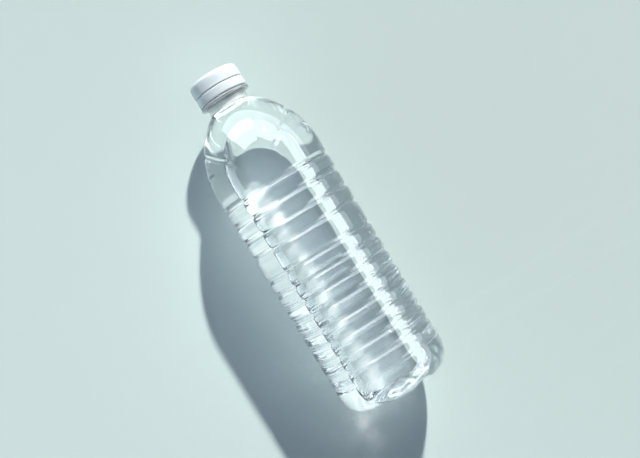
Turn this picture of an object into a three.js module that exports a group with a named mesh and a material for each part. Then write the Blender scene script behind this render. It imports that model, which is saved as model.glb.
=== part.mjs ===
// Half-litre water bottle, full, capped and lying on its side.
// Millimetres, +Z up. The bottle's axis runs along X with the cap at +X.
// Each piece is drawn about its own Y axis, from the foot at 0 towards the cap, and the group lays it down.
import * as THREE from 'three';

// Overall
const LENGTH = 203;
const BODY_RADIUS = 33;
const WALL = 0.4;
const GAP = 0.3;
const SIDES = 30;
const REST_HALF_ANGLE = 12.6 * Math.PI / 180;
const AXIS_HEIGHT = BODY_RADIUS * Math.cos(REST_HALF_ANGLE);

// Water, filled to this share of the radius above the bottle's axis as it lies
const WATER_LEVEL = BODY_RADIUS * 0.712;

// Closure, set down from the top of the cap
const CAP_SIDES = 40;
const CAP_RADIUS = 14.75;
const CAP_HEIGHT = 8.1;
const CAP_CROWN = 1.6;
const CAP_EDGE = 1.8;
const CAP_WALL = 1.25;
const SLIT = 0.4;
const BAND_HEIGHT = 5.2;
const PLUG_DEPTH = 2.8;
const PLUG_WALL = 0.8;
const PLUG_CLEARANCE = 0.6;
const CAP_BOTTOM = LENGTH - CAP_HEIGHT;
const CAP_CEILING = LENGTH - CAP_CROWN;
const PLUG_END = CAP_CEILING - PLUG_DEPTH;
const BAND_HIGH = CAP_BOTTOM - SLIT;
const BAND_LOW = BAND_HIGH - BAND_HEIGHT;

// Neck finish, fitted to the closure
const LIP = CAP_CEILING - GAP;
const CAP_INNER_RADIUS = CAP_RADIUS - CAP_WALL;
const FINISH_RADIUS = CAP_INNER_RADIUS - 1;
const BORE_RADIUS = FINISH_RADIUS - 1.6;
const BEAD_RADIUS = CAP_INNER_RADIUS - GAP;
const BEAD_LOW = BAND_LOW + 1.1;
const BEAD_HIGH = BEAD_LOW + 1.2;
const RING_RADIUS = CAP_RADIUS + 0.15;
const RING_HIGH = BAND_LOW - 2 * GAP;
const RING_LOW = RING_HIGH - 1.5;
const NECK_RADIUS = BORE_RADIUS + 1;
const NECK_ROOT = RING_LOW - 4.2;

// Shoulder: an arc from the straight wall to the neck, with a collar groove that dips front and back
const DOME_RUN = 41;
const DOME_DROP = BODY_RADIUS - NECK_RADIUS - 0.1;
const DOME_ARC = (DOME_RUN * DOME_RUN + DOME_DROP * DOME_DROP) / (2 * DOME_DROP);
const DOME_START = NECK_ROOT - DOME_RUN;
const COLLAR_DIP = DOME_START + 2;
const COLLAR_CREST = DOME_START + 23.7;
const COLLAR_MEAN = (COLLAR_DIP + COLLAR_CREST) / 2;
const COLLAR_HALF = 2;
const COLLAR_DEPTH = 0.9;
const COLLAR_EASE = 0.12;
const WARP_START = DOME_START - 5;
const WARP_END = NECK_ROOT - 4;

// Foot: rounded heel, six feet parted by flutes, pushed-up middle
const HEEL_HEIGHT = 14;
const HEEL_DEPTH = 9.5;
const FOOT_RADIUS = BODY_RADIUS - HEEL_DEPTH;
const FOOT_WIDTH = 4.5;
const PUNT_HEIGHT = 6;
const FLUTE_EVERY = 5;
const FLUTE_RISE = 2.2;

// Ribs: two sets of grooves with a wider land between them, spread over the straight wall
const UPPER_COUNT = 4;
const LOWER_COUNT = 8;
const UPPER_STRETCH = 1.15;
const LAND_STRETCH = 1.6;
const FIRST_GROOVE = DOME_START - 8.9;
const LAST_GROOVE = HEEL_HEIGHT + 12.1;
const PITCHES = UPPER_STRETCH * (UPPER_COUNT - 1) + LAND_STRETCH + LOWER_COUNT - 1;
const PITCH = (FIRST_GROOVE - LAST_GROOVE) / PITCHES;
const UPPER_DEPTH = 1.2;
const LOWER_DEPTH = 0.9;
const GROOVE_HALF_TOP = 1.7;
const GROOVE_HALF_FLOOR = 0.55;
const INNER_ROUNDING = 0.3;
const LAND_EASE = 0.25;

// Angles of the bottle's sides, measured from straight down. The first and last bound the flat
// that the full, thin-walled bottle settles on.
function sideAngles() {
  const angles = [];
  const step = (2 * Math.PI - 2 * REST_HALF_ANGLE) / (SIDES - 1);
  for (let i = 0; i < SIDES; i += 1) angles.push(REST_HALF_ANGLE + i * step);
  return angles;
}

// Radius of the plain outer form, without grooves
function envelope(along) {
  if (along <= HEEL_HEIGHT) {
    const up = (HEEL_HEIGHT - along) / HEEL_HEIGHT;
    return FOOT_RADIUS + HEEL_DEPTH * Math.sqrt(Math.max(0, 1 - up * up));
  }
  if (along <= DOME_START) return BODY_RADIUS;
  const run = along - DOME_START;
  return BODY_RADIUS - DOME_ARC + Math.sqrt(DOME_ARC * DOME_ARC - run * run);
}

// How far the collar groove is shifted along the bottle at one angle round it
function collarShift(angle) {
  const side = Math.abs(Math.sin(angle));
  const rise = Math.sqrt(side * side + COLLAR_EASE * COLLAR_EASE) - COLLAR_EASE;
  const full = Math.sqrt(1 + COLLAR_EASE * COLLAR_EASE) - COLLAR_EASE;
  return COLLAR_DIP + (COLLAR_CREST - COLLAR_DIP) * rise / full - COLLAR_MEAN;
}

// Share of that shift, full at the groove and none at the ribs and the neck
function warpShare(along) {
  const below = (along - WARP_START) / (COLLAR_MEAN - COLLAR_HALF - WARP_START);
  const above = (WARP_END - along) / (WARP_END - COLLAR_MEAN - COLLAR_HALF);
  return Math.max(0, Math.min(1, below, above));
}

// A ring has a place along the bottle and either its own radius or a depth below the envelope.
// "flute" lifts every fifth corner of the foot.
function ringPoints(ring, angles) {
  return angles.map((angle, i) => {
    let along = ring.along;
    let radius = ring.radius;
    if (radius === undefined) {
      along += collarShift(angle) * warpShare(ring.along);
      radius = envelope(along) - ring.depth;
    }
    if (ring.flute && i % FLUTE_EVERY === 2) along += ring.flute;
    return place(along, radius, angle);
  });
}

function place(along, radius, angle) {
  return new THREE.Vector3(-radius * Math.sin(angle), along, -radius * Math.cos(angle));
}

// Skins a row of rings and closes it with a point on the axis at each end. Rows from "turn" on run back
// down the bottle, and are split along the same diagonal as those going up. Points above "level" are
// brought down to it, clear of the flutes in the foot.
function skin(rings, angles, ends, { level = Infinity, turn = Infinity } = {}) {
  const count = angles.length;
  const points = rings.flatMap((ring) => ringPoints(ring, angles));
  const faces = [];
  const last = rings.length - 1;
  for (let k = 0; k < last; k += 1) {
    const low = k * count;
    const high = low + count;
    for (let i = 0; i < count; i += 1) {
      const j = (i + 1) % count;
      if (k < turn) faces.push(low + i, low + j, high + j, low + i, high + j, high + i);
      else faces.push(low + i, low + j, high + i, low + j, high + j, high + i);
    }
  }
  const start = points.push(place(ends[0], 0, 0)) - 1;
  const end = points.push(place(ends[1], 0, 0)) - 1;
  for (let i = 0; i < count; i += 1) {
    const j = (i + 1) % count;
    faces.push(start, j, i, end, last * count + i, last * count + j);
  }
  for (const point of points.filter(({ z }) => z > level)) {
    point.z = level;
    point.y = Math.max(point.y, FLUTE_RISE + 2 * (WALL + GAP));
  }
  const geometry = new THREE.BufferGeometry().setFromPoints(points);
  geometry.setIndex(faces);
  geometry.computeVertexNormals();
  return geometry;
}

// Grooves from the foot up, each with its place, its depth, and how far the wall below and above it stands in.
// The lands between grooves stand in a little, so the bottle lies on its heel and shoulder.
function grooves() {
  const list = [];
  for (let i = 0; i < LOWER_COUNT; i += 1) list.push({ along: LAST_GROOVE + i * PITCH, depth: LOWER_DEPTH });
  const firstUpper = LAST_GROOVE + (LOWER_COUNT - 1 + LAND_STRETCH) * PITCH;
  for (let i = 0; i < UPPER_COUNT; i += 1) {
    list.push({ along: firstUpper + i * UPPER_STRETCH * PITCH, depth: UPPER_DEPTH });
  }
  const last = list.length - 1;
  return list.map((groove, i) => ({
    ...groove,
    below: i === 0 ? 0 : LAND_EASE,
    above: i === last ? 0 : LAND_EASE,
  }));
}

// Places from the collar to the root of the neck that outer wall, inner wall and water share
function domePlaces(count) {
  const from = COLLAR_MEAN + COLLAR_HALF;
  const places = [];
  for (let i = 1; i <= count; i += 1) places.push(from + (WARP_END - from) * i / count);
  places.push((WARP_END + NECK_ROOT) / 2);
  return places;
}

function footRings(lift, shrink) {
  return [
    { along: PUNT_HEIGHT - 0.5 + lift, radius: FOOT_RADIUS * 0.25 },
    { along: PUNT_HEIGHT * 0.6 + lift, radius: FOOT_RADIUS * 0.55, flute: FLUTE_RISE * 0.4 },
    { along: lift * 1.2, radius: FOOT_RADIUS - FOOT_WIDTH, flute: FLUTE_RISE },
    { along: lift * 1.5, radius: FOOT_RADIUS - shrink, flute: FLUTE_RISE },
  ];
}

function heelRing(share, inset) {
  const along = HEEL_HEIGHT * share;
  return { along: along + inset * (1 - share), radius: envelope(along) - inset };
}

function outerRings() {
  const rings = footRings(0, 0);
  rings.push({ ...heelRing(0.06, 0), flute: FLUTE_RISE * 0.7 });
  for (const share of [0.2, 0.45, 1]) rings.push(heelRing(share, 0));
  for (const { along, depth, below, above } of grooves()) {
    rings.push({ along: along - GROOVE_HALF_TOP, depth: below });
    rings.push({ along: along - GROOVE_HALF_FLOOR, depth });
    rings.push({ along: along + GROOVE_HALF_FLOOR, depth });
    rings.push({ along: along + GROOVE_HALF_TOP, depth: above });
  }
  rings.push({ along: WARP_START, depth: 0 });
  rings.push({ along: (WARP_START + COLLAR_MEAN - COLLAR_HALF) / 2, depth: 0 });
  rings.push({ along: COLLAR_MEAN - COLLAR_HALF, depth: 0 });
  rings.push({ along: COLLAR_MEAN - COLLAR_HALF * 0.35, depth: COLLAR_DEPTH });
  rings.push({ along: COLLAR_MEAN + COLLAR_HALF * 0.35, depth: COLLAR_DEPTH });
  rings.push({ along: COLLAR_MEAN + COLLAR_HALF, depth: 0 });
  for (const along of domePlaces(6)) rings.push({ along, depth: 0 });
  rings.push({ along: NECK_ROOT - 0.5, radius: NECK_RADIUS + 0.35 });
  rings.push({ along: NECK_ROOT + 0.8, radius: NECK_RADIUS });
  rings.push({ along: RING_LOW, radius: NECK_RADIUS });
  rings.push({ along: RING_LOW + 0.2, radius: RING_RADIUS });
  rings.push({ along: RING_HIGH, radius: RING_RADIUS });
  rings.push({ along: RING_HIGH, radius: FINISH_RADIUS });
  rings.push({ along: BEAD_LOW - 0.3, radius: FINISH_RADIUS });
  rings.push({ along: BEAD_LOW, radius: BEAD_RADIUS });
  rings.push({ along: BEAD_HIGH, radius: BEAD_RADIUS });
  rings.push({ along: BEAD_HIGH + 0.3, radius: FINISH_RADIUS });
  rings.push({ along: LIP - 0.5, radius: FINISH_RADIUS });
  rings.push({ along: LIP, radius: FINISH_RADIUS - 0.5 });
  return rings;
}

// Depth that puts a surface one thickness in from the outer wall, square to the dome
function insetDepth(along, inset) {
  const run = Math.max(0, along - DOME_START);
  return inset * DOME_ARC / Math.sqrt(DOME_ARC * DOME_ARC - run * run);
}

// The inside from foot to neck, at one inset from the outer wall. The water only meets each set of grooves
// at its ends.
function insideRings(inset, followGrooves) {
  const rings = footRings(inset, inset - WALL);
  for (const share of [0.2, 0.45, 1]) rings.push(heelRing(share, inset));
  const list = grooves();
  list.forEach(({ along, depth, below, above }, i) => {
    const opensSet = i === 0 || i === LOWER_COUNT;
    const closesSet = i === LOWER_COUNT - 1 || i === list.length - 1;
    if (followGrooves || opensSet) rings.push({ along: along - GROOVE_HALF_TOP, depth: inset + below });
    if (followGrooves || opensSet || closesSet) rings.push({ along, depth: depth + inset + INNER_ROUNDING });
    if (followGrooves || closesSet) rings.push({ along: along + GROOVE_HALF_TOP, depth: inset + above });
  });
  rings.push({ along: WARP_START, depth: inset });
  rings.push({ along: COLLAR_MEAN - COLLAR_HALF, depth: insetDepth(COLLAR_MEAN, inset) });
  rings.push({ along: COLLAR_MEAN, depth: COLLAR_DEPTH + inset + INNER_ROUNDING });
  rings.push({ along: COLLAR_MEAN + COLLAR_HALF, depth: insetDepth(COLLAR_MEAN, inset) });
  for (const along of domePlaces(5)) rings.push({ along, depth: insetDepth(along, inset) });
  rings.push({ along: NECK_ROOT - (inset - WALL), radius: BORE_RADIUS - (inset - WALL) });
  return rings;
}

function mouthRings() {
  return [
    { along: LIP, radius: BORE_RADIUS + 0.3 },
    { along: LIP - 0.5, radius: BORE_RADIUS },
  ];
}

// Half-sections of the closure, as radius and place along the axis
function capProfile() {
  const plugOuter = BORE_RADIUS - PLUG_CLEARANCE;
  const edge = CAP_RADIUS - 0.15;
  return [
    [0, CAP_CEILING],
    [plugOuter - PLUG_WALL, CAP_CEILING],
    [plugOuter - PLUG_WALL, PLUG_END],
    [plugOuter - 0.3, PLUG_END],
    [plugOuter, PLUG_END + 0.6],
    [plugOuter, CAP_CEILING],
    [CAP_INNER_RADIUS, CAP_CEILING],
    [CAP_INNER_RADIUS, CAP_BOTTOM],
    [CAP_RADIUS, CAP_BOTTOM],
    [edge, LENGTH - CAP_EDGE],
    [edge - CAP_EDGE * 0.28, LENGTH - CAP_EDGE * 0.35],
    [edge - CAP_EDGE, LENGTH],
    [0, LENGTH],
  ];
}

function bandProfile() {
  const outer = CAP_RADIUS - 0.05;
  const inner = BEAD_RADIUS + GAP;
  return [
    [inner, BAND_LOW],
    [outer - 0.2, BAND_LOW],
    [outer, BAND_LOW + 0.4],
    [outer, BAND_HIGH],
    [inner, BAND_HIGH],
    [inner, BAND_LOW],
  ];
}

function turned(profile) {
  return new THREE.LatheGeometry(profile.map(([r, along]) => new THREE.Vector2(r, along)), CAP_SIDES);
}

function piece(name, geometry, material) {
  const mesh = new THREE.Mesh(geometry, material);
  mesh.name = name;
  return mesh;
}

const clearPlastic = new THREE.MeshStandardMaterial({
  name: 'clear_plastic',
  color: 0xdfe8ea,
  roughness: 0.08,
  transparent: true,
  opacity: 0.35,
});
const whitePlastic = new THREE.MeshStandardMaterial({
  name: 'white_plastic',
  color: 0xeef2f5,
  roughness: 0.4,
});
const clearWater = new THREE.MeshStandardMaterial({
  name: 'clear_water',
  color: 0xcfdde2,
  roughness: 0.02,
  transparent: true,
  opacity: 0.5,
});

const sides = sideAngles();
const outside = outerRings();
const inside = [...mouthRings(), ...insideRings(WALL, true).reverse()];
const footEnds = [PUNT_HEIGHT, PUNT_HEIGHT + WALL];
const shell = skin([...outside, ...inside], sides, footEnds, { turn: outside.length });

const waterInset = WALL + GAP;
const waterRings = insideRings(waterInset, false);
waterRings.push({ along: PLUG_END - GAP, radius: BORE_RADIUS - GAP });
const fill = skin(waterRings, sides, [PUNT_HEIGHT + waterInset, PLUG_END - GAP], { level: WATER_LEVEL });

const lying = new THREE.Group();
lying.position.set(-LENGTH / 2, 0, AXIS_HEIGHT);
lying.rotation.z = -Math.PI / 2;
lying.add(piece('bottle', shell, clearPlastic));
lying.add(piece('cap', turned(capProfile()), whitePlastic));
lying.add(piece('tamper_band', turned(bandProfile()), whitePlastic));
lying.add(piece('water', fill, clearWater));

const part = new THREE.Group();
part.name = 'water_bottle';
part.add(lying);

export default part;
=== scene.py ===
# %% [markdown]
# # A full water bottle, lying in window light
#
# The object is a half-litre bottle blown from clear PET, full of water, closed with a white screw
# cap and lying on pale paper. Nearly all of its look is refraction, so the lesson is about getting
# the surfaces between air, plastic and water right: where they are, how smooth they are, and which
# two materials meet at each of them.

import math

import bmesh
import bpy
import numpy as np
from mathutils import Matrix, Vector
from mathutils.bvhtree import BVHTree
from mathutils.interpolate import poly_3d_calc


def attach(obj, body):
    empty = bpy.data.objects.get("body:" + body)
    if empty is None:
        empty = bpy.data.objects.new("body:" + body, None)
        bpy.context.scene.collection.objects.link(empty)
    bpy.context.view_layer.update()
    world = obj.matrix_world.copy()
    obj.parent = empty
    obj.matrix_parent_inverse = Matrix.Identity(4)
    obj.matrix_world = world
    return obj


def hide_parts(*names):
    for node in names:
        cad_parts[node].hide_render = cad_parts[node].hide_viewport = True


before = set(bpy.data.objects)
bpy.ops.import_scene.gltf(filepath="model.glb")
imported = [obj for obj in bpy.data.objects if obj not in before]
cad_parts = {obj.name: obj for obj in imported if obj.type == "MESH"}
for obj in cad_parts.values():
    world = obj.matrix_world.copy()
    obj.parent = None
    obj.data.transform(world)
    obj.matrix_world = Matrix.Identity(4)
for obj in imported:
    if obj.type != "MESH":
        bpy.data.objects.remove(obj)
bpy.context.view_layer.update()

# %% [markdown]
# ## Sizes
#
# The CAD pieces are faceted, and facets would break up every reflection. So each piece is drawn
# again here from the same sizes, with hundreds of rings in place of dozens. Lengths of the bottle
# are in millimetres, measured along it from its foot, because that is how a bottle drawing reads.
# They are turned into metres only when a mesh is made. Light and paper are in metres throughout.

# %% Sizes shared by the pieces
MM = 0.001
LENGTH, BODY_RADIUS, WALL = 203.0, 33.0, 0.4
REST_HALF_ANGLE = math.radians(12.6)
AXIS_HEIGHT = BODY_RADIUS * math.cos(REST_HALF_ANGLE)
print(f"axis lies {AXIS_HEIGHT:.1f} mm above the floor")

# %% [markdown]
# ## From rings to a mesh
#
# Every piece is a stack of rings round the bottle's axis. Writing the points straight into the mesh
# with NumPy is faster than thousands of modelling operators, and it puts every point exactly where
# the formula says. A small helper turns axis coordinates into the shared frame: the bottle lies
# along X, with its cap at +X.


# %% Helpers that place points and join rings
def lay_down(along, radius, angle):
    """Points in the shared frame, in metres. The angle is measured from straight down."""
    x = np.broadcast_to(along - LENGTH / 2, np.shape(radius * angle))
    y = radius * np.sin(angle)
    z = AXIS_HEIGHT - radius * np.cos(angle)
    return np.stack([x, y, z], axis=-1) * MM


def grid_faces(rows, columns, closed=True):
    """Quads between neighbouring rings of a rows by columns grid of points."""
    ring = np.arange(columns if closed else columns - 1)
    following = (ring + 1) % columns
    start = np.arange(rows - 1)[:, None] * columns
    above = start + columns
    quads = [start + ring, start + following, above + following, above + ring]
    return np.stack(quads, axis=-1).reshape(-1, 4)


print("one ring of 4 points makes", len(grid_faces(2, 4)), "faces with the next")

# %% Helpers that make a mesh piece
WELD = 2e-6
SHARP_ANGLE = math.radians(50)


def tidy(mesh, merge):
    """Welds points closer than merge, and turns all faces outward."""
    work = bmesh.new()
    work.from_mesh(mesh)
    if merge:
        bmesh.ops.remove_doubles(work, verts=work.verts, dist=merge)
        bmesh.ops.dissolve_degenerate(work, edges=work.edges, dist=merge)
    bmesh.ops.recalc_face_normals(work, faces=work.faces)
    work.to_mesh(mesh)
    work.free()


def make_piece(name, points, faces, materials, slots=None, merge=0.0):
    """An object from points and faces, smooth except at sharp edges."""
    mesh = bpy.data.meshes.new(name)
    mesh.from_pydata(points.reshape(-1, 3).tolist(), [], [list(f) for f in faces])
    for material in materials:
        mesh.materials.append(material)
    if slots is not None:
        mesh.polygons.foreach_set("material_index", np.asarray(slots, dtype=np.int32))
    piece = bpy.data.objects.new(name, mesh)
    bpy.context.collection.objects.link(piece)
    tidy(mesh, merge)
    mesh.shade_smooth()
    mesh.set_sharp_from_angle(angle=SHARP_ANGLE)
    return piece


print("points are welded within", WELD, "m")

# %% [markdown]
# ## The blown form
#
# A blown bottle is one skin. Its outline here is three curves: a rounded heel, a straight wall and
# a shoulder arc that ends at the neck. On top of that come the grooves. The ribs are plain rings in
# two sets, deeper towards the shoulder, and one shallow ring by the heel. The collar groove isn't a
# plain ring: it dips towards the foot on top and below, so the rings near it are shifted along the
# bottle to follow it, and the groove keeps a clean edge all the way round.

# %% The outline without grooves
DOME_START, DOME_ARC = 142.0, 50.5
DOME_REACH = DOME_ARC * 0.99
HEEL_HEIGHT, HEEL_DEPTH = 14.0, 9.5
FOOT_RADIUS = BODY_RADIUS - HEEL_DEPTH


def envelope(along):
    along = np.asarray(along, dtype=float)
    up = np.clip((HEEL_HEIGHT - along) / HEEL_HEIGHT, 0, 1)
    heel = FOOT_RADIUS + HEEL_DEPTH * np.sqrt(1 - up * up)
    run = np.clip(along - DOME_START, 0, DOME_REACH)
    return heel - DOME_ARC + np.sqrt(DOME_ARC**2 - run * run)


print("radius at foot, wall, shoulder:", envelope([0, 80, 170]).round(1))

# %% Ribs
HEEL_GROOVE, FIRST_GROOVE, GROOVE_STEP = 17.8, 26.1, 8.876
SET_GAP, UPPER_STRETCH = 1.6, 1.15
LOWER_GROOVES = FIRST_GROOVE + GROOVE_STEP * np.arange(8)
UPPER_GROOVES = LOWER_GROOVES[-1] + GROOVE_STEP * (SET_GAP + UPPER_STRETCH * np.arange(4))
GROOVES = np.concatenate([[HEEL_GROOVE], LOWER_GROOVES, UPPER_GROOVES])
GROOVE_DEPTHS = np.array([0.8] + [1.3] * 8 + [1.35, 1.4, 1.45, 1.5])
GROOVE_HALF = 2.3
LAND_EASE, LAND_CROWN = 0.1, 0.15


def rounded(away, half):
    """A smooth groove, 1 in its middle and 0 from its edge on."""
    return 0.5 * (1 + math.cos(math.pi * away / half)) if away < half else 0.0


def rib_depth(along):
    """Rounded grooves, with the lands between them slightly barrelled."""
    away = np.abs(along - GROOVES)
    nearest = int(np.argmin(away))
    between = GROOVES[0] < along < GROOVES[-1]
    depth = 0.0
    if between:
        after = int(np.searchsorted(GROOVES, along))
        share = (along - GROOVES[after - 1]) / (GROOVES[after] - GROOVES[after - 1])
        depth = LAND_EASE + LAND_CROWN * (2 * share - 1) ** 2
    sink = rounded(away[nearest], GROOVE_HALF)
    return depth + (GROOVE_DEPTHS[nearest] - (LAND_EASE + LAND_CROWN) * between) * sink


print("grooves at", GROOVES.round(1))

# %% The collar groove and the shift that makes rings follow it
COLLAR_DIP, COLLAR_CREST, COLLAR_HALF, COLLAR_DEPTH = 144.0, 165.7, 2.2, 0.95
COLLAR_MEAN = (COLLAR_DIP + COLLAR_CREST) / 2
COLLAR_AT_DIP = 0.15
DIP_EASE = 0.12
WARP_START, WARP_END, WARP_FLAT = 137.0, 179.0, 2.0


def collar_shift(angle):
    """How far the groove lies from its mean place. The ease rounds the point of each dip."""
    rise = np.sqrt(np.sin(angle) ** 2 + DIP_EASE**2) - DIP_EASE
    swing = (COLLAR_CREST - COLLAR_DIP) * rise / (math.hypot(1, DIP_EASE) - DIP_EASE)
    return COLLAR_DIP + swing - COLLAR_MEAN


def warp_share(along):
    """Share of that shift: full at the groove, none at the ribs and the neck."""
    below = (along - WARP_START) / (COLLAR_MEAN - WARP_FLAT - WARP_START)
    above = (WARP_END - along) / (WARP_END - COLLAR_MEAN - WARP_FLAT)
    return max(0.0, min(1.0, below, above))


def collar_depth(along, angle):
    """The groove is deepest at the sides and nearly runs out at its dips."""
    fade = COLLAR_AT_DIP + (1 - COLLAR_AT_DIP) * np.sin(angle) ** 2
    return COLLAR_DEPTH * rounded(abs(along - COLLAR_MEAN), COLLAR_HALF) * fade


print("collar groove runs from", COLLAR_DIP, "to", COLLAR_CREST, "mm")


# %% Radius round one ring of the wall or shoulder
def settle(radius, angle):
    """The full bottle flattens a little where it rests, so the lowest arc becomes a chord."""
    under = np.abs((angle + math.pi) % (2 * math.pi) - math.pi)
    flat = np.cos(REST_HALF_ANGLE) / np.cos(np.minimum(under, REST_HALF_ANGLE))
    return radius * np.where(under < REST_HALF_ANGLE, flat, 1.0)


def wall_ring(along, angle, inset=0.0):
    """Places and radii round one ring, moved inward square to the outline by the inset."""
    place = along + collar_shift(angle) * warp_share(along)
    run = np.clip(place - DOME_START, 0, DOME_REACH)
    square = DOME_ARC / np.sqrt(DOME_ARC**2 - run * run)
    grooves = envelope(place) - rib_depth(along) - collar_depth(along, angle)
    return place, settle(grooves - inset * square, angle)


print("wall radius below and above:", wall_ring(80.0, np.array([0, math.pi]))[1].round(2))

# %% [markdown]
# ## The foot
#
# The foot has a ring of six feet with flutes between them and a middle that is pushed up, so that
# the bottle stands without rocking. Its rings are set by radius and not by height, because the foot
# is nearly flat.

# %% Rings of the foot, from its middle to the heel
PUNT_HEIGHT, PUNT_POWER, PUNT_FIRST, PUNT_RINGS = 6.0, 2.2, 0.4, 16
PAD_WIDTH, PAD_EDGE, PAD_RINGS = 4.5, 0.8, 6
HEEL_FIRST_TURN, HEEL_RINGS = 6, 22
SIDES = 29
FLUTE_ANGLES = np.arange(2, SIDES + 1, 5) * (2 * math.pi - 2 * REST_HALF_ANGLE) / SIDES
FLUTE_ANGLES = REST_HALF_ANGLE + FLUTE_ANGLES
FLUTE_RISE, FLUTE_HALF, FLUTE_FADE = 2.2, math.radians(8), 1.6
FOOT_LEAST = 0.3


def flute(angle):
    turn = (np.asarray(angle)[..., None] - FLUTE_ANGLES + math.pi) % (2 * math.pi) - math.pi
    return np.exp(-((turn / FLUTE_HALF) ** 2)).sum(axis=-1)


def foot_profile():
    """Rows of place along the bottle, radius and how much of the flute shows there."""
    rows = []
    inner = FOOT_RADIUS - PAD_WIDTH
    for radius in np.linspace(PUNT_FIRST, inner, PUNT_RINGS):
        share = radius / inner
        rows.append((PUNT_HEIGHT * (1 - share**PUNT_POWER), radius, min(1, share**2)))
    for radius in np.linspace(inner + PAD_EDGE, FOOT_RADIUS, PAD_RINGS):
        rows.append((0.0, radius, 1.0))
    for up in np.radians(np.linspace(HEEL_FIRST_TURN, 90, HEEL_RINGS)):
        fade = max(0.0, math.cos(up * FLUTE_FADE)) ** 2
        radius = FOOT_RADIUS + HEEL_DEPTH * math.sin(up)
        rows.append((HEEL_HEIGHT * (1 - math.cos(up)), radius, fade))
    return np.array(rows)


def foot_rings(angles, inset=0.0):
    """Rings of the foot, moved inward square to the profile by the inset."""
    profile = foot_profile()
    slope = np.gradient(profile[:, :2], axis=0)
    slope /= np.linalg.norm(slope, axis=1)[:, None]
    along = profile[:, 0] + inset * slope[:, 1]
    radius = np.maximum(FOOT_LEAST, profile[:, 1] - inset * slope[:, 0])
    rings = []
    for a, r, share in zip(along, radius, profile[:, 2]):
        lifted = a + FLUTE_RISE * share * flute(angles)
        rings.append((lifted, settle(np.full_like(angles, r), angles)))
    return rings


print("foot rings:", len(foot_profile()))

# %% [markdown]
# ## The neck
#
# Below the cap the neck carries a thin support ring, which the filling line holds the bottle by,
# and a bead that keeps the tamper band on. Most of it is under the closure, so a short profile with
# rounded edges is enough.

# %% Rings of the neck, outside and inside, as place along the bottle and radius
NECK_OUTER = [
    (181.9, 13.35), (182.5, 12.6), (183.1, 12.15), (183.9, 11.95), (185.0, 11.9), (186.4, 11.9),
    (186.9, 12.0), (187.15, 12.4), (187.25, 13.2), (187.3, 14.4), (187.4, 14.75), (187.65, 14.9),
    (188.2, 14.9), (188.5, 14.8), (188.65, 14.5), (188.7, 13.2), (188.8, 12.6), (189.3, 12.5),
    (190.1, 12.5), (190.4, 13.1), (190.7, 13.2), (191.3, 13.2), (191.6, 13.1), (191.9, 12.5),
    (194.0, 12.5), (198.0, 12.5), (200.4, 12.5), (200.8, 12.4), (201.0, 12.2), (201.1, 11.9),
]
NECK_INNER = [
    (201.1, 11.3), (201.0, 11.1), (200.7, 10.95), (200.0, 10.9), (196.0, 10.9), (190.0, 10.9),
    (186.0, 10.9), (184.4, 10.95), (183.6, 11.15), (183.0, 11.5), (182.4, 12.1), (181.9, 12.7),
]
print("neck rings:", len(NECK_OUTER), "outside,", len(NECK_INNER), "inside")

# %% Where the rings of the wall and shoulder go
GROOVE_RINGS, GROOVE_MARGIN = 9, 0.4
PLAIN_STRETCHES = [
    (15.0, 137.0, 1.3), (137.0, 151.0, 0.8), (151.0, 159.0, 0.45), (159.0, 181.6, 0.75),
]


def wall_places():
    """The same steps in every groove, so that all catch the light alike, and wider ones between."""
    grooves = (GROOVES[:, None] + GROOVE_HALF * np.linspace(-1, 1, GROOVE_RINGS)).ravel()
    plain = np.concatenate([np.arange(*stretch) for stretch in PLAIN_STRETCHES])
    clear = np.abs(plain[:, None] - GROOVES).min(axis=1) > GROOVE_HALF + GROOVE_MARGIN
    return sorted(np.concatenate([grooves, plain[clear]]).round(3))


WALL_PLACES = wall_places()
print("wall and shoulder rings:", len(WALL_PLACES))

# %% [markdown]
# ## Where water meets plastic
#
# The bottle isn't quite full, so as it lies there is a long air pocket along its upper side. At the
# pocket's edge the water climbs the wall a little: that curved strip, the meniscus, is the dark
# line on each side of the pocket. It climbs less where a groove stands in, so the line is calmer
# than the wall. The inner wall is split at this line. Each inner ring is walked first along its wet
# arc and then along its dry arc, so the split falls exactly on mesh edges instead of cutting across
# faces.

# %% Split each inner ring at the waterline
WATER_LEVEL, MENISCUS, CALM = 23.5, 1.7, 0.7
CONTACT = WATER_LEVEL + MENISCUS
WATERLINE_STEPS = 721


def inner_ring(kind, value, angle):
    if kind == "wall":
        return wall_ring(value, angle, WALL)
    along, radius = value
    return np.full_like(angle, along), np.full_like(angle, radius)


def waterline_angle(kind, value):
    """Angle from straight down at which a ring passes the contact height, at most a half turn."""
    angle = np.linspace(math.pi / 2, math.pi, WATERLINE_STEPS)
    radius = inner_ring(kind, value, angle)[1]
    if kind == "wall":
        radius = radius + CALM * rib_depth(value)
    height = -radius * np.cos(angle)
    above = np.nonzero(height > CONTACT)[0]
    if len(above) == 0:
        return math.pi
    i = above[0]
    share = (CONTACT - height[i - 1]) / (height[i] - height[i - 1])
    return angle[i - 1] + share * (angle[i] - angle[i - 1])


STACK = [("neck", value) for value in NECK_INNER]
STACK += [("wall", place) for place in reversed(WALL_PLACES)]
SPLITS = [waterline_angle(kind, value) for kind, value in STACK]
FOOT_SPLITS = []
for _, radius in foot_rings(np.linspace(math.pi / 2, math.pi, 5), WALL):
    top = float(np.max(radius))
    FOOT_SPLITS.append(math.pi if top <= CONTACT else math.pi - math.acos(CONTACT / top))
crossing = sum(split < math.pi for split in SPLITS + FOOT_SPLITS)
print("rings that cross the waterline:", crossing, "of", len(SPLITS + FOOT_SPLITS))

# %% Points of the inner wall, wet arc first
WET_COUNT, DRY_COUNT = 120, 36
INNER_LEAST = 0.2


def split_angles(split):
    wet = np.linspace(-split, split, WET_COUNT)
    dry = np.linspace(split, 2 * math.pi - split, DRY_COUNT + 2)[1:-1]
    return np.concatenate([wet, dry])


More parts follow.
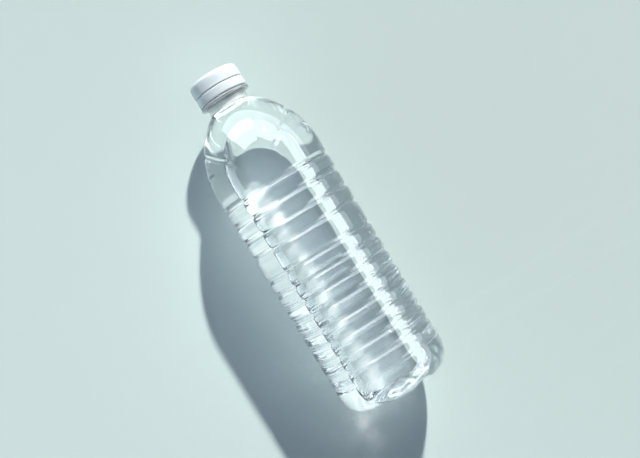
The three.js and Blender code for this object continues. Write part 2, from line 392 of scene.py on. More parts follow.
def inner_points(extra=0.0):
    """The inner wall from the mouth to the middle of the foot. extra moves it further in."""
    rows = []
    for (kind, value), split in zip(STACK, SPLITS):
        angle = split_angles(split)
        along, radius = inner_ring(kind, value, angle)
        rows.append(lay_down(along, radius - extra, angle))
    for i in reversed(range(len(FOOT_SPLITS))):
        angle = split_angles(FOOT_SPLITS[i])
        along, radius = foot_rings(angle, WALL)[i]
        rows.append(lay_down(along + extra, np.maximum(radius - extra, INNER_LEAST), angle))
    return np.array(rows)


INNER = inner_points()
print("inner wall points:", INNER.shape)

# %% [markdown]
# ## Marks of handling, shared by every finish
#
# Blown PET is never optically flat, and anything that has been carried has faint smears. All
# finishes use the same effect with different strengths, so it is one node group: large soft smears
# and a fine waviness come out as values, and each material decides what they do.


# %% A node group for smears and fine waviness
def new_node(tree, kind, **settings):
    node = tree.nodes.new(kind)
    for key, value in settings.items():
        setattr(node, key, value)
    return node


def handling_group():
    group = bpy.data.node_groups.new("handling_marks", "ShaderNodeTree")
    sockets = group.interface
    scale = sockets.new_socket("Scale", in_out="INPUT", socket_type="NodeSocketFloat")
    scale.default_value = 40.0
    sockets.new_socket("Smears", in_out="OUTPUT", socket_type="NodeSocketFloat")
    sockets.new_socket("Waves", in_out="OUTPUT", socket_type="NodeSocketFloat")
    source = new_node(group, "NodeGroupInput")
    sink = new_node(group, "NodeGroupOutput")
    place = new_node(group, "ShaderNodeTexCoord")
    smear = new_node(group, "ShaderNodeTexNoise")
    smear.inputs["Detail"].default_value = 4.0
    smear.inputs["Roughness"].default_value = 0.6
    limit = new_node(group, "ShaderNodeMapRange")
    limit.inputs["From Min"].default_value = 0.5
    limit.inputs["From Max"].default_value = 0.8
    wave = new_node(group, "ShaderNodeTexNoise")
    wave.inputs["Scale"].default_value = 90.0
    wave.inputs["Detail"].default_value = 1.0
    links = group.links
    links.new(place.outputs["Object"], smear.inputs["Vector"])
    links.new(place.outputs["Object"], wave.inputs["Vector"])
    links.new(source.outputs["Scale"], smear.inputs["Scale"])
    links.new(smear.outputs["Fac"], limit.inputs["Value"])
    links.new(limit.outputs["Result"], sink.inputs["Smears"])
    links.new(wave.outputs["Fac"], sink.inputs["Waves"])
    return group


HANDLING = handling_group()
print("node group:", HANDLING.name)


# %% A material with the shared marks already placed
def marked_material(name, scale):
    material = bpy.data.materials.new(name)
    material.use_nodes = True
    tree = material.node_tree
    surface = tree.nodes["Principled BSDF"]
    marks = new_node(tree, "ShaderNodeGroup", node_tree=HANDLING)
    marks.inputs["Scale"].default_value = scale
    return material, tree, surface, marks


def mapped(tree, value, low, high):
    """A value from 0 to 1 turned into one from low to high."""
    node = new_node(tree, "ShaderNodeMapRange")
    node.inputs["To Min"].default_value = low
    node.inputs["To Max"].default_value = high
    tree.links.new(value, node.inputs["Value"])
    return node.outputs["Result"]


def tinted(tree, value, low, high):
    """A colour between two, chosen by a value."""
    node = new_node(tree, "ShaderNodeMix", data_type="RGBA")
    node.inputs["A"].default_value = (*low, 1)
    node.inputs["B"].default_value = (*high, 1)
    tree.links.new(value, node.inputs["Factor"])
    return node.outputs["Result"]


def waved(tree, value, strength, distance):
    """A normal that is tilted a little by a value's slope."""
    node = new_node(tree, "ShaderNodeBump")
    node.inputs["Strength"].default_value = strength
    node.inputs["Distance"].default_value = distance
    tree.links.new(value, node.inputs["Height"])
    return node.outputs["Normal"]


# %% [markdown]
# ## Clear plastic, dry and wet
#
# A refracting surface needs to know the ratio of the two indices it separates. PET has an index
# near 1.57. Where it meets air, outside and in the air pocket, that is the ratio. Where it meets
# water the ratio is only 1.57 to 1.33, or 1.18, so that face bends light little and hardly
# reflects. One clear material can't do both, so there are two, and the inner wall's wet arc gets
# the second. A third is for the neck: it isn't stretched when the bottle is blown, so it stays
# thick and looks milky beside the thin wall.

# %% Clear plastic against air, against water, and in the thick neck
AIR, PLASTIC, WATER = 1.0, 1.57, 1.333
PLASTIC_ON_WATER = 1.18
CLEAR, SMEARED = (0.985, 0.995, 0.995), (0.96, 0.975, 0.98)


def clear_plastic(name, index, clearness=1.0):
    material, tree, surface, marks = marked_material(name, 28.0)
    smears, waves = marks.outputs["Smears"], marks.outputs["Waves"]
    tree.links.new(tinted(tree, smears, CLEAR, SMEARED), surface.inputs["Base Color"])
    tree.links.new(mapped(tree, smears, 0.0, 0.03), surface.inputs["Roughness"])
    tree.links.new(waved(tree, waves, 0.12, 0.0004), surface.inputs["Normal"])
    surface.inputs["Transmission Weight"].default_value = clearness
    surface.inputs["IOR"].default_value = index
    return material


PET_DRY = clear_plastic("pet_in_air", PLASTIC)
PET_WET = clear_plastic("pet_on_water", PLASTIC_ON_WATER)
PET_NECK = clear_plastic("pet_thick_neck", PLASTIC, clearness=0.7)
print("clear plastics:", PET_DRY.name, PET_WET.name, PET_NECK.name)

# %% [markdown]
# ## The bottle
#
# The real wall is a thin skin with an outside and an inside, and light bends at both. A single
# surface with a Solidify modifier would give an inner skin too, but not one that is split at the
# waterline. So both skins are built as rings, closed at the lip and in the middle of the foot.

# %% Rings of the outer skin
FLAT_ANGLES = np.linspace(-REST_HALF_ANGLE, REST_HALF_ANGLE, 11)[:-1]
ROUND_ANGLES = np.linspace(REST_HALF_ANGLE, 2 * math.pi - REST_HALF_ANGLE, 137)[:-1]
AROUND = np.concatenate([FLAT_ANGLES, ROUND_ANGLES])
outer_rows = [lay_down(a, r, AROUND) for a, r in foot_rings(AROUND)]
outer_rows += [lay_down(*wall_ring(place, AROUND), AROUND) for place in WALL_PLACES]
outer_rows += [lay_down(a, np.full_like(AROUND, r), AROUND) for a, r in NECK_OUTER]
OUTER = np.array(outer_rows)
print("outer skin points:", OUTER.shape)


# %% Helpers that close a stack of rings
def fan(ring, centre):
    following = np.roll(ring, -1)
    return [[centre, int(a), int(b)] for a, b in zip(ring, following)]


def zip_rings(lower, upper, points):
    """Triangles between two rings of different counts, walked round together."""
    def turn(ring):
        p = points[ring]
        return np.unwrap(np.arctan2(p[:, 1], AXIS_HEIGHT * MM - p[:, 2]))

    a, b = turn(lower), turn(upper)
    b += 2 * math.pi * round((a[0] - b[0]) / (2 * math.pi))
    i = j = 0
    faces = []
    while i < len(lower) or j < len(upper):
        next_a = a[i + 1] if i + 1 < len(lower) else a[0] + 2 * math.pi
        next_b = b[j + 1] if j + 1 < len(upper) else b[0] + 2 * math.pi
        if j >= len(upper) or (i < len(lower) and next_a <= next_b):
            faces.append([lower[i], lower[(i + 1) % len(lower)], upper[j % len(upper)]])
            i += 1
        else:
            faces.append([lower[i % len(lower)], upper[(j + 1) % len(upper)], upper[j]])
            j += 1
    return [[int(v) for v in f] for f in faces]


# %% Join the two skins
DRY, WET, NECK = 0, 1, 2


def bottle_mesh():
    outer = OUTER.reshape(-1, 3)
    inner = INNER.reshape(-1, 3)
    middles = lay_down(np.array([PUNT_HEIGHT, PUNT_HEIGHT + WALL]), np.zeros(2), np.zeros(2))
    points = np.concatenate([outer, inner, middles])
    around, columns = OUTER.shape[1], INNER.shape[1]
    outer_faces = grid_faces(*OUTER.shape[:2]).tolist()
    inner_faces = (grid_faces(*INNER.shape[:2]) + len(outer)).tolist()
    lip_outer = np.arange(around) + len(outer) - around
    lip_inner = np.arange(columns) + len(outer)
    lip = zip_rings(lip_outer, lip_inner, points)
    foot = fan(np.arange(around), len(points) - 2)
    foot_in = fan(np.arange(columns) + len(outer) + len(inner) - columns, len(points) - 1)
    neck_face = (len(OUTER) - len(NECK_OUTER)) * around
    slots = [DRY] * neck_face + [NECK] * (len(outer_faces) - neck_face)
    slots += [WET if i % columns < WET_COUNT - 1 else DRY for i in range(len(inner_faces))]
    slots += [DRY] * (len(lip) + len(foot)) + [WET] * len(foot_in)
    return points, outer_faces + inner_faces + lip + foot + foot_in, slots


points, faces, slots = bottle_mesh()
bottle = make_piece("bottle_shell", points, faces, [PET_DRY, PET_WET, PET_NECK], slots, merge=WELD)
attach(bottle, "bottle")
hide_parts("bottle")
print("bottle faces:", len(bottle.data.polygons))

# %% [markdown]
# ## The water
#
# The water's sides lie on the wet wall. The bending there is already done by the wall's own face,
# so the water's sides keep an index of 1 and only add the water's faint colour. Its free top is a
# real surface between air and water, with an index of 1.33. It is level, and climbs to the wall
# over a few millimetres.

# %% The free surface, with its meniscus
TOP_COUNT = 40
MENISCUS_REACH = 0.0021


def contact_curve(wall_rows):
    """Ends of the wet arc of every ring that crosses the waterline, seen from above."""
    ends = []
    for row, split in zip(wall_rows, SPLITS + FOOT_SPLITS[::-1]):
        if split < math.pi:
            ends += [row[0], row[WET_COUNT - 1]]
    return np.array(ends)[:, :2]


def free_surface(side_rows, curve):
    """For each ring, points from one end of its wet arc to the other, over the water."""
    rows = []
    level = (AXIS_HEIGHT + WATER_LEVEL) * MM
    share = 0.5 - 0.5 * np.cos(np.pi * np.arange(1, TOP_COUNT + 1) / (TOP_COUNT + 1))
    for row in side_rows:
        start, end = row[WET_COUNT - 1], row[0]
        line = start + (end - start) * share[:, None]
        reach = np.sqrt(((line[:, None, :2] - curve[None]) ** 2).sum(-1)).min(axis=1)
        if start[2] > level:
            line[:, 2] = level + (start[2] - level) * np.exp(-reach / MENISCUS_REACH)
        rows.append(line)
    return np.array(rows)


# %% Water materials
def water_material(name, index, clear, deep):
    material, tree, surface, marks = marked_material(name, 12.0)
    colour = tinted(tree, marks.outputs["Smears"], clear, deep)
    tree.links.new(colour, surface.inputs["Base Color"])
    surface.inputs["Roughness"].default_value = 0.0
    surface.inputs["Transmission Weight"].default_value = 1.0
    surface.inputs["IOR"].default_value = index
    return material


WATER_SIDE = water_material("water_on_plastic", 1.0, (0.975, 0.99, 0.995), (0.97, 0.985, 0.99))
WATER_TOP = water_material("water_in_air", WATER, (0.99, 0.995, 1.0), (0.985, 0.99, 0.995))
print("water materials:", WATER_SIDE.name, WATER_TOP.name)

# %% The water: sides and free surface as one closed mesh
SIDE, TOP, BUBBLE = 0, 1, 2
WATER_GAP, WATER_MOUTH = 0.05, 198.3


def closed_stack(grid):
    """Points and faces of a stack of rings, and the faces that close its two ends."""
    rows, columns = grid.shape[:2]
    ends = np.array([grid[0].mean(axis=0), grid[-1].mean(axis=0)])
    points = np.concatenate([grid.reshape(-1, 3), ends])
    first = fan(np.arange(columns), rows * columns)
    last = fan(np.arange(columns) + (rows - 1) * columns, rows * columns + 1)
    return points, grid_faces(rows, columns).tolist(), first + last


def in_water(kind, value):
    return kind == "wall" or value[0] < WATER_MOUTH


def water_mesh():
    start = next(i for i, ring in enumerate(STACK) if in_water(*ring))
    wall = inner_points(WATER_GAP)
    side = wall[start:, :WET_COUNT]
    grid = np.concatenate([side, free_surface(side, contact_curve(wall))], axis=1)
    points, faces, ends = closed_stack(grid)
    columns = grid.shape[1]
    slots = [TOP if i % columns >= WET_COUNT - 1 else SIDE for i in range(len(faces))]
    return points, faces + ends, slots + [SIDE] * len(ends)


points, faces, slots = water_mesh()
print("water points:", len(points))

# %% [markdown]
# ## Air bubbles
#
# A few bubbles cling to the wall at the right of the pocket. A bubble is a ball of air in water, so
# its faces look the other way: their outside is the air within. The balls are part of the water's
# mesh, in a material slot of their own, and that slot tells which faces to flip once the mesh has
# been tidied. They stand a little off the wall, so that the two surfaces don't cut each other.

# %% Bubbles, as place along, turn from straight down in degrees, and radius
BUBBLES = [
    (152.8, -112, 0.9), (151.0, -115, 0.6), (149.6, -111, 1.1), (147.6, -114, 0.7),
    (146.2, -110, 0.5), (93.8, -112, 0.8), (92.0, -108, 1.0), (91.0, -113, 0.5),
    (82.8, -111, 0.9), (81.2, -108, 0.6), (80.2, -112, 0.7),
]
CLEAR_OF_WALL = 1.7
BALL_DETAIL = 3


def bubble_faces(first):
    """Points and faces of the balls, numbered from the first free point on."""
    points, faces = [], []
    for along, turn, radius in BUBBLES:
        ball = bmesh.new()
        bmesh.ops.create_icosphere(ball, subdivisions=BALL_DETAIL, radius=radius * MM)
        ball.verts.index_update()
        reach = float(envelope(along)) - WALL - CLEAR_OF_WALL - radius
        angle = np.array([math.radians(turn)])
        centre = lay_down(np.array([along]), np.array([reach]), angle)[0]
        start = first + len(points)
        points += [centre + np.array(v.co) for v in ball.verts]
        faces += [[start + v.index for v in face.verts] for face in ball.faces]
        ball.free()
    return np.array(points), faces


bubble_points, bubbles = bubble_faces(len(points))
print("bubbles:", len(BUBBLES), "with", len(bubbles), "faces")

# %% Make the water piece
points, faces = np.concatenate([points, bubble_points]), faces + bubbles
slots += [BUBBLE] * len(bubbles)
looks = [WATER_SIDE, WATER_TOP, WATER_TOP]
water = make_piece("water_fill", points, faces, looks, slots, merge=WELD)
for face in water.data.polygons:
    if face.material_index == BUBBLE:
        face.flip()
water.data.update()
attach(water, "bottle")
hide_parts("water")
print("water faces:", len(water.data.polygons))

# %% [markdown]
# ## The closure
#
# Cap and tamper band are moulded in white polyethylene. The cap has fine grip ribs that fade out
# below its rounded top edge. Ribs this small would be a normal map in a game, but as real geometry
# they also shape the cap's outline. The band is the plain ring below the slit. The plastic lets a
# little light in, so it gets a small share of subsurface scattering, one millimetre deep.

# %% White plastic
WHITE, tree, surface, marks = marked_material("white_polyethylene", 60.0)
smears, waves = marks.outputs["Smears"], marks.outputs["Waves"]
white = tinted(tree, smears, (0.76, 0.87, 0.93), (0.73, 0.84, 0.90))
tree.links.new(white, surface.inputs["Base Color"])
tree.links.new(mapped(tree, smears, 0.32, 0.45), surface.inputs["Roughness"])
tree.links.new(waved(tree, waves, 0.05, 0.0002), surface.inputs["Normal"])
surface.inputs["Subsurface Weight"].default_value = 0.3
surface.inputs["Subsurface Radius"].default_value = (1.0, 1.0, 1.0)
surface.inputs["Subsurface Scale"].default_value = 0.001
print("white plastic:", WHITE.name)

# %% Profiles of the closure, as place along the bottle and radius
CAP_PROFILE = [
    (201.4, 0.3), (201.4, 9.4), (201.2, 9.5), (198.8, 9.5), (198.6, 9.7), (198.6, 10.0),
    (198.9, 10.2), (199.2, 10.3), (201.2, 10.3), (201.4, 10.5), (201.4, 13.2), (201.2, 13.5),
    (195.1, 13.5), (194.9, 13.7), (194.9, 14.5), (195.0, 14.68), (195.2, 14.75), (195.8, 14.75),
    (196.6, 14.73), (197.6, 14.72), (198.6, 14.7), (199.4, 14.68), (200.2, 14.64), (200.8, 14.58),
    (201.4, 14.42), (201.9, 14.14), (202.3, 13.76), (202.65, 13.28), (202.87, 12.7),
    (202.97, 12.0), (203.0, 11.2), (203.0, 8.0), (203.0, 4.0), (203.0, 0.3),
]
BAND_PROFILE = [
    (189.5, 13.5), (189.3, 13.7), (189.3, 14.3), (189.4, 14.5), (189.7, 14.68), (190.2, 14.7),
    (191.5, 14.7), (193.0, 14.7), (194.1, 14.7), (194.4, 14.6), (194.5, 14.4), (194.5, 13.7),
    (194.3, 13.5), (192.0, 13.5),
]
print("profile points: cap", len(CAP_PROFILE), "band", len(BAND_PROFILE))

# %% Turn the profiles, with grip ribs on the cap
CAP_SIDES, BAND_SIDES = 480, 192
GRIP_RIBS, GRIP_DEPTH = 80, 0.14
GRIP_FROM, GRIP_TO, GRIP_FADE, SIDE_RADIUS = 195.3, 201.3, 0.6, 14.3


def turned(profile, count, ribs=0, depth=0.0):
    angle = np.arange(count) * 2 * math.pi / count
    rows = []
    for along, radius in profile:
        fade = 0.0
        if radius > SIDE_RADIUS:
            fade = np.clip(min(along - GRIP_FROM, GRIP_TO - along) / GRIP_FADE, 0, 1)
        ripple = depth * fade * (0.5 + 0.5 * np.cos(ribs * angle))
        rows.append(lay_down(along, radius - ripple, angle))
    return np.array(rows)


cap_points, faces, ends = closed_stack(turned(CAP_PROFILE, CAP_SIDES, GRIP_RIBS, GRIP_DEPTH))
cap = make_piece("screw_cap", cap_points, faces + ends, [WHITE])
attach(cap, "cap")
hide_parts("cap")

band_grid = turned(BAND_PROFILE, BAND_SIDES)
band_grid = np.concatenate([band_grid, band_grid[:1]])
band_faces = grid_faces(*band_grid.shape[:2]).tolist()
band = make_piece("band_ring", band_grid, band_faces, [WHITE], merge=WELD)
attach(band, "bottle")
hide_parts("tamper_band")
print("cap faces:", len(cap.data.polygons), "band faces:", len(band.data.polygons))

# %% [markdown]
# ## Sunlight through the bottle
#
# A bottle of water is a lens, so what lies under it isn't plainly dark: the sun is gathered into
# bright bands and the ribs draw lines in them. A path tracer starts at the camera and finds this
# light only by luck, because its ray has to leave the paper, pass several bent surfaces and then
# meet a small sun. Here the light is followed the other way, from the light down, once for each
# point of a fine raster. Where the rays land is counted on the paper, and the count becomes an
# attribute of the paper's mesh. It depends on the light and on the bottle at rest, not on the
# camera, so it holds from any side.

# %% Surfaces that bend or stop sunlight, by material slot, as the index outside and inside
STOP = "stop"
SURFACES = (
    (bottle, ((AIR, PLASTIC), (WATER, PLASTIC), STOP)),
    (water, (None, (AIR, WATER), (AIR, WATER))),
    (cap, (STOP,)),
    (band, (STOP,)),
)


def gather_surfaces():
    points, polygons, normals, kinds = [], [], [], []
    for piece, kind_of_slot in SURFACES:
        mesh = piece.data
        first = len(points)
        points += [v.co.copy() for v in mesh.vertices]
        corner = [n.vector.copy() for n in mesh.corner_normals]
        for polygon in mesh.polygons:
            kind = kind_of_slot[polygon.material_index]
            if kind is not None:
                polygons.append([first + v for v in polygon.vertices])
                normals.append([corner[i] for i in polygon.loop_indices])
                kinds.append(kind)
    return points, polygons, normals, kinds


POINTS, POLYGONS, NORMALS, KINDS = gather_surfaces()
TREE = BVHTree.FromPolygons(POINTS, POLYGONS)
print("faces in the sun's way:", len(POLYGONS))


# %% Bend one ray at one surface
def bend(heading, normal, before, after):
    """Direction after a surface between two indices, and the share of light that goes that way."""
    ratio = before / after
    cos_in = -heading.dot(normal)
    square = 1 - ratio * ratio * (1 - cos_in * cos_in)
    if square <= 0:
        return heading + 2 * cos_in * normal, 1.0
    cos_out = math.sqrt(square)
    side = (before * cos_in - after * cos_out) / (before * cos_in + after * cos_out)
    flat = (before * cos_out - after * cos_in) / (before * cos_out + after * cos_in)
    heading = (ratio * heading + (ratio * cos_in - cos_out) * normal).normalized()
    return heading, 1 - (side * side + flat * flat) / 2


_, passed = bend(Vector((0, 0, -1)), Vector((0, 0, 1)), AIR, PLASTIC)
print("share of light that passes straight into the plastic:", round(passed, 3))

# %% Follow one ray through all surfaces
MOST_SURFACES, STEP_OFF = 14, 2e-6
LEVEL_RAY, LOST_AFTER = -1e-4, 1.0


def smooth_normal(index, place):
    """The shaded normal at a place on a face, between those of its corners."""
    weights = poly_3d_calc([POINTS[i] for i in POLYGONS[index]], place)
    normal = Vector((0, 0, 0))
    for weight, corner in zip(weights, NORMALS[index]):
        normal += weight * corner
    return normal.normalized()


def follow(start, heading):
    """Landing point and share of light left, or None where light is lost or was never bent."""
    share, bent = 1.0, False
    for _ in range(MOST_SURFACES):
        place, _, index, reach = TREE.ray_cast(start, heading)
        drop = start.z / -heading.z if heading.z < LEVEL_RAY else math.inf
        if place is None or reach > drop:
            return (start + heading * drop, share) if bent and drop < LOST_AFTER else None
        if KINDS[index] == STOP:
            return None
        normal = smooth_normal(index, place)
        outside, inside = KINDS[index]
        if heading.dot(normal) > 0:
            outside, inside, normal = inside, outside, -normal
        heading, kept = bend(heading, normal, outside, inside)
        share *= kept
        start = place + heading * STEP_OFF
        bent = True
    return None


# %% Count where the light lands
CELL, RASTER, LIGHT_START = 0.0008, 0.0004, 0.4
FIELD_X, FIELD_Y = (-0.200, 0.110), (-0.050, 0.120)
count_x = int(round((FIELD_X[1] - FIELD_X[0]) / CELL)) + 1
count_y = int(round((FIELD_Y[1] - FIELD_Y[0]) / CELL)) + 1


def drop_light(target, place, share):
    """Shares one ray's light among the four raster points around its landing place."""
    u, v = (place.x - FIELD_X[0]) / CELL, (place.y - FIELD_Y[0]) / CELL
    i, j = int(u), int(v)
    if 0 <= u and 0 <= v and i < count_x - 1 and j < count_y - 1:
        fu, fv = u - i, v - j
        target[i, j] += share * (1 - fu) * (1 - fv)
        target[i + 1, j] += share * fu * (1 - fv)
        target[i, j + 1] += share * (1 - fu) * fv
        target[i + 1, j + 1] += share * fu * fv


def soft_directions(middle, spread, count=6):
    """The middle of the light and a ring round it, so that it is soft like a lamp of some width."""
    across = middle.cross(Vector((0, 0, 1))).normalized()
    upward = across.cross(middle)
    ring = [2 * math.pi * k / count for k in range(count)]
    around = [middle + spread * (math.cos(a) * across + math.sin(a) * upward) for a in ring]
    return [middle] + [d.normalized() for d in around]


def gather(directions, x_end, part):
    """Light on the paper from some directions. The part says how much a ray counts, by its x."""
    caught = np.zeros((count_x, count_y))
    for i, x in enumerate(np.arange(FIELD_X[0], x_end, RASTER)):
        for j, y in enumerate(np.arange(FIELD_Y[0], FIELD_Y[1], RASTER)):
            toward = directions[(i + 3 * j) % len(directions)]
            start = Vector((x, y, 0)) + toward * LIGHT_START
            met = TREE.ray_cast(start, -toward)[0]
            counts = part(met.x) if met else 0.0
            landed = follow(start, -toward) if counts > 0 else None
            if landed:
                drop_light(caught, landed[0], landed[1] * counts)
    return caught


print("points that count the light:", count_x, "by", count_y)

# %% [markdown]
# The bright area under the bottle comes from a light that stands steeper than the sun: the sun's
# own light would land beyond the bottle, where the paper in the photo is in shade. Only the foot
# throws the sun's light, on the paper just behind it. It sets in softly along the bottle.

# %% Light under the bottle, and light thrown by the foot
KEY_FROM = Vector((0.675, -0.532, 0.511)).normalized()
GATHER_FROM = Vector((0.56, -0.375, 0.74)).normalized()
GATHER_SPREAD, KEY_SPREAD = 0.05, 0.025
FOOT_START, FOOT_FULL, FOOT_SHARE = -0.076, -0.094, 1.5


def foot_part(x):
    return min(1.0, max(0.0, (FOOT_START - x) / (FOOT_START - FOOT_FULL)))


thrown = gather(soft_directions(GATHER_FROM, GATHER_SPREAD), FIELD_X[1], lambda x: 1.0)
thrown += FOOT_SHARE * gather(soft_directions(KEY_FROM, KEY_SPREAD), FOOT_START, foot_part)
thrown *= (RASTER / CELL) ** 2
for axis in (0, 1):
    thrown = 0.5 * thrown + 0.25 * (np.roll(thrown, 1, axis) + np.roll(thrown, -1, axis))
print("gathered light, brightest:", thrown.max().round(2), "mean:", thrown.mean().round(3))

# %% [markdown]
# ## Paper
#
# The floor is pale paper. Its mesh is fine under the bottle, to carry the gathered light, and a few
# large faces elsewhere. Far out it curves up like a studio backdrop, so that low views end in paper
# and not in a dark horizon. That raised edge stands square to the sun, so shade is painted on it:
# its colour is darker there.

# %% Mesh of the paper
FAR = np.array([2.8, 3.2, 3.5, 3.75, 3.9, 4.0, 4.05])
RISE = np.array([0.0, 0.04, 0.12, 0.26, 0.45, 0.75, 1.3])
PAPER_BELOW, RIM_HEIGHT = 0.0003, 0.3
wide_x = np.concatenate([-FAR[::-1], np.linspace(*FIELD_X, count_x), FAR])
wide_y = np.concatenate([-FAR[::-1], np.linspace(*FIELD_Y, count_y), FAR])
sheet_x, sheet_y = np.meshgrid(wide_x, wide_y, indexing="ij")
sheet_z = np.interp(np.maximum(np.abs(sheet_x), np.abs(sheet_y)), FAR, RISE) - PAPER_BELOW
sheet_points = np.stack([sheet_x, sheet_y, sheet_z], axis=-1).reshape(-1, 3)
sheet_faces = grid_faces(len(wide_x), len(wide_y), closed=False)[:, ::-1]
floor_mesh = bpy.data.meshes.new("paper")
floor_mesh.from_pydata(sheet_points.tolist(), [], sheet_faces.tolist())
gathered = floor_mesh.attributes.new("gathered_sun", "FLOAT", "POINT")
gathered.data.foreach_set("value", np.pad(thrown, len(FAR)).reshape(-1).astype(np.float32))
# Share of painted shade: none on the flat paper, full where it has risen into the backdrop.
rim_shade = floor_mesh.attributes.new("rim_shade", "FLOAT", "POINT")
rim_shade_values = np.clip(sheet_z.reshape(-1) / RIM_HEIGHT, 0, 1)
rim_shade.data.foreach_set("value", rim_shade_values.astype(np.float32))
floor_mesh.shade_smooth()
floor = bpy.data.objects.new("paper", floor_mesh)
bpy.context.collection.objects.link(floor)
print("paper points:", len(floor_mesh.vertices))

# %% Finish of the paper
GATHERED_GLOW = 0.19
PAPER, tree, surface, marks = marked_material("pale_paper", 6.0)
smears = marks.outputs["Smears"]
# Painted shade: where the paper rises into the backdrop it takes a darker colour, because that part
# faces the sun.
rim_shade_share = new_node(tree, "ShaderNodeAttribute", attribute_name="rim_shade")
shaded = new_node(tree, "ShaderNodeMix", data_type="RGBA")
tree.links.new(rim_shade_share.outputs["Fac"], shaded.inputs["Factor"])
paper_colour = tinted(tree, smears, (0.64, 0.79, 0.785), (0.63, 0.78, 0.775))
tree.links.new(paper_colour, shaded.inputs["A"])
shaded.inputs["B"].default_value = (0.36, 0.44, 0.44, 1)
tree.links.new(shaded.outputs["Result"], surface.inputs["Base Color"])
surface.inputs["Roughness"].default_value = 0.9
surface.inputs["Specular IOR Level"].default_value = 0.1
# Painted light: the gathered light is given to the paper as emission, so the paper glows where the
# light lands. No lamp shines this light.
sun_share = new_node(tree, "ShaderNodeAttribute", attribute_name="gathered_sun")
glow = new_node(tree, "ShaderNodeVectorMath", operation="SCALE")
glow_colour = tinted(tree, smears, (0.77, 0.79, 0.78), (0.76, 0.78, 0.77))
tree.links.new(glow_colour, glow.inputs[0])
tree.links.new(sun_share.outputs["Fac"], glow.inputs["Scale"])
tree.links.new(glow.outputs[0], surface.inputs["Emission Color"])
surface.inputs["Emission Strength"].default_value = GATHERED_GLOW
PAPER.cycles.emission_sampling = "NONE"
floor_mesh.materials.append(PAPER)
print("paper finish:", PAPER.name)

# %% [markdown]
# ## Light
#
# Glossy and clear things show their surroundings, so most lamps here are there to be seen and not
# to light the paper. The windows are tall panels beyond the cap and along the right: they make the
# white area on the shoulder and the long stripe, and are kept from lighting the paper so that the
# sun's shadow stays deep. A smaller, brighter panel in front of one adds glints on the ribs, in
# reflections only. Two bounce panels on the left do the opposite: they fill the shade and aren't
# seen in the plastic. A broad faint skylight overhead softens the rest.


# %% Helpers for lamps
def area_lamp(name, place, target, size, watts, colour):
    data = bpy.data.lights.new(name, "AREA")
    data.shape = "RECTANGLE"
    data.size, data.size_y = size
    data.energy = watts
    data.color = colour
    lamp = bpy.data.objects.new(name, data)
    bpy.context.collection.objects.link(lamp)
    lamp.visible_camera = False
    lamp.location = place
    facing = Vector(target) - Vector(place)
    lamp.rotation_euler = facing.to_track_quat("-Z", "Y").to_euler()
    return lamp


PANEL_DISTANCE = 1.3
PANEL_WIDTH = 2 * PANEL_DISTANCE * math.tan(math.radians(22.5))


def panel(name, turn, rise, radiance, colour, distance=PANEL_DISTANCE, foot=0):
    """A standing panel, by its direction and its lowest and highest angle from the bottle."""
    bottom = distance * math.tan(math.radians(foot))
    height = distance * math.tan(math.radians(rise)) - bottom
    turn = math.radians(turn)
    toward = Vector((math.cos(turn), math.sin(turn), 0)) * distance
    middle = Vector((0, 0, bottom + height / 2))
    watts = radiance * math.pi * PANEL_WIDTH * height
    return area_lamp(name, toward + middle, middle, (PANEL_WIDTH, height), watts, colour)


print(f"panels are {PANEL_WIDTH:.2f} m wide")

# %% Windows by direction and height in degrees, glints and bounce panels
WINDOWS = {5: 52, -40: 47, -85: 36, -130: 36, -175: 14}
WINDOW_RADIANCE, WINDOW_COLOUR = 3.6, (0.87, 0.94, 1.0)
GLINT_TURN, GLINT_FOOT, GLINT_RISE, GLINT_DISTANCE = 5, 17, 33, 1.2
GLINT_RADIANCE, GLINT_COLOUR = 5.5, (0.95, 0.98, 1.0)
BOUNCE_TURNS, BOUNCE_RISE = (70, 115), 28
BOUNCE_RADIANCE, BOUNCE_COLOUR = 0.85, (0.85, 0.95, 1.0)
for turn, rise in WINDOWS.items():
    window = panel(f"window_{turn}", turn, rise, WINDOW_RADIANCE, WINDOW_COLOUR)
    window.visible_diffuse = False
glints = panel(
    "glints", GLINT_TURN, GLINT_RISE, GLINT_RADIANCE, GLINT_COLOUR, GLINT_DISTANCE, GLINT_FOOT
)
glints.visible_diffuse = glints.visible_transmission = False
for turn in BOUNCE_TURNS:
    bounce = panel(f"bounce_{turn}", turn, BOUNCE_RISE, BOUNCE_RADIANCE, BOUNCE_COLOUR)
    bounce.visible_glossy = bounce.visible_transmission = False
print("windows:", len(WINDOWS), "bounce panels:", len(BOUNCE_TURNS))

# %% Skylight and sun
SKY_RADIANCE, SKY_HEIGHT, SKY_SIZE, SKY_COLOUR = 0.35, 1.6, 2.4, (0.85, 0.95, 1.1)
KEY_STRENGTH, KEY_WIDTH, KEY_COLOUR = 4.7, math.radians(2.0), (1.0, 0.96, 0.88)
sky_watts = SKY_RADIANCE * math.pi * SKY_SIZE**2
sky_square = (SKY_SIZE, SKY_SIZE)
skylight = area_lamp("skylight", (0, 0, SKY_HEIGHT), (0, 0, 0), sky_square, sky_watts, SKY_COLOUR)
skylight.visible_diffuse = False

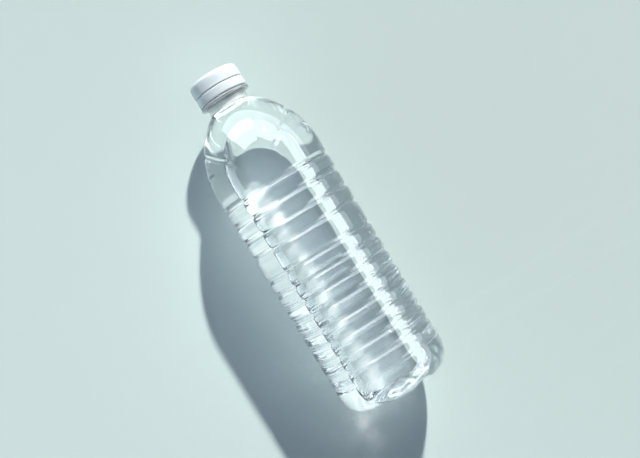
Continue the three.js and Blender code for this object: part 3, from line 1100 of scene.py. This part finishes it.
sun_data = bpy.data.lights.new("sun", "SUN")
sun_data.energy = KEY_STRENGTH
sun_data.angle = KEY_WIDTH
sun_data.color = KEY_COLOUR
sun = bpy.data.objects.new("sun", sun_data)
bpy.context.collection.objects.link(sun)
sun.rotation_euler = KEY_FROM.to_track_quat("Z", "Y").to_euler()
sun.visible_transmission = False
print(f"sun stands {math.degrees(math.asin(KEY_FROM.z)):.0f} degrees high")

# %% A dim room, a little brighter overhead
ROOM_SIDE, ROOM_ABOVE, ROOM_POWER = (0.04, 0.04, 0.06), (0.24, 0.26, 0.41), 6.0
world = bpy.data.worlds.new("room")
world.use_nodes = True
room = world.node_tree
direction = new_node(room, "ShaderNodeTexCoord")
height = new_node(room, "ShaderNodeSeparateXYZ")
above = new_node(room, "ShaderNodeMath", operation="MAXIMUM")
overhead = new_node(room, "ShaderNodeMath", operation="POWER")
room.links.new(direction.outputs["Generated"], height.inputs[0])
room.links.new(height.outputs["Z"], above.inputs[0])
above.inputs[1].default_value = 0.0
room.links.new(above.outputs[0], overhead.inputs[0])
overhead.inputs[1].default_value = ROOM_POWER
room_colour = tinted(room, overhead.outputs[0], ROOM_SIDE, ROOM_ABOVE)
room.links.new(room_colour, room.nodes["Background"].inputs["Color"])
bpy.context.scene.world = world
print("world:", world.name)

# %% [markdown]
# ## Camera
#
# The photo looks straight down, with the bottle lying across the picture. So the camera hangs over
# the bottle and is turned about its own line of sight. Its axes are written out as a matrix, which
# is plainer here than three angles.

# %% Camera
CAMERA_PLACE = (-0.0028, -0.0072, 0.5687)
CAMERA_RIGHT, CAMERA_UP = Vector((-0.5225, -0.8526, 0)), Vector((0.8526, -0.5225, 0))
camera_data = bpy.data.cameras.new("camera")
camera_data.sensor_width = 36.0
camera_data.lens = 54.2
camera = bpy.data.objects.new("camera", camera_data)
bpy.context.collection.objects.link(camera)
basis = Matrix((CAMERA_RIGHT, CAMERA_UP, Vector((0, 0, 1)))).transposed()
camera.matrix_world = Matrix.Translation(CAMERA_PLACE) @ basis.to_4x4()
bpy.context.scene.camera = camera
print("camera at", CAMERA_PLACE)

# %% View and light paths
scene = bpy.context.scene
scene.view_settings.view_transform = "Standard"
scene.cycles.max_bounces = 24
scene.cycles.transmission_bounces = 24
scene.cycles.glossy_bounces = 12
print("view:", scene.view_settings.view_transform, "bounces:", scene.cycles.max_bounces)
